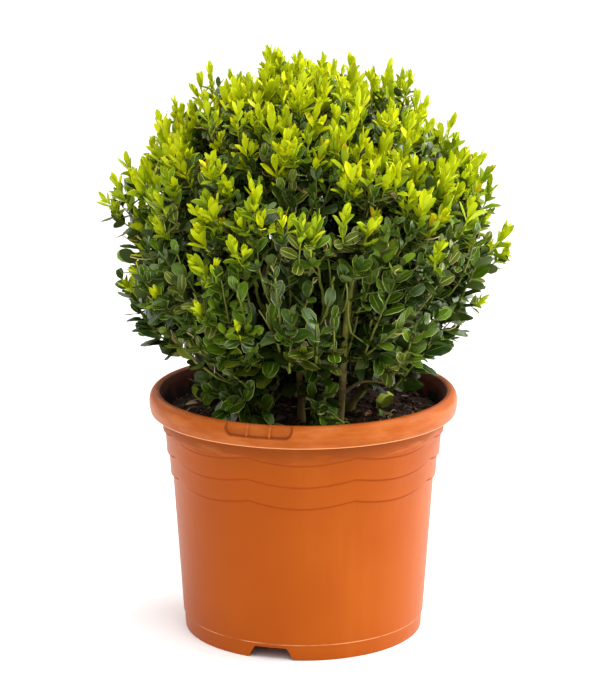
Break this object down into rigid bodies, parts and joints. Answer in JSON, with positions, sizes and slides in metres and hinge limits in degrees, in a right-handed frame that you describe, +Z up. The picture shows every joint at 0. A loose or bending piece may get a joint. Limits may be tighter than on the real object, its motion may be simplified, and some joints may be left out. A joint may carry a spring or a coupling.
{
  "type": "potted box topiary ball",
  "caption": "Box shrub clipped into a leafy ball, with bright new shoots on top and slender stems, growing in a round orange plastic pot with a turned-over rim and wavy relief.",
  "frame": {"origin": "centre of the pot's flat underside, on the surface that it stands on", "axes": "+Z up along the pot's axis, -Y towards the front of the plant, +X towards its right as seen from the front"},
  "size_m": [0.32, 0.3007, 0.461],
  "materials": {
    "pot": "satin moulded plastic",
    "compost": "crumbly, moist and dull",
    "bark": "finely furrowed grey-brown bark",
    "young_bark": "smooth olive-green young bark",
    "leaves": "leathery leaves, satin above and paler below",
    "low_leaves": "older, darker leathery leaves"
  },
  "bodies": {
    "root": {"pot": "pot", "compost": "compost", "stem_front": "bark", "stem_front_right": "bark", "stem_right": "bark", "stem_back_right": "bark", "stem_back": "bark", "stem_left": "bark", "stem_front_left": "bark", "bough_front_a": "bark", "bough_front_b": "bark", "bough_front_right_a": "bark", "bough_front_right_b": "bark", "bough_right_a": "bark", "bough_right_b": "bark", "bough_back_right_a": "bark", "bough_back_right_b": "bark", "bough_back_a": "bark", "bough_back_b": "bark", "bough_left_a": "bark", "bough_left_b": "bark", "bough_front_left_a": "bark", "bough_front_left_b": "bark", "low_bough_front_left": "young_bark", "low_bough_front": "young_bark", "low_bough_front_right": "young_bark", "low_bough_right": "young_bark", "low_bough_back_right": "young_bark", "low_bough_back": "young_bark", "low_bough_back_left": "young_bark", "low_bough_left": "young_bark", "crown_ball": "leaves", "foliage_front_left": "low_leaves", "foliage_front": "low_leaves", "foliage_front_right": "low_leaves", "foliage_right": "low_leaves", "foliage_back_right": "low_leaves", "foliage_back": "low_leaves", "foliage_back_left": "low_leaves", "foliage_left": "low_leaves"}
  },
  "joints": []
}
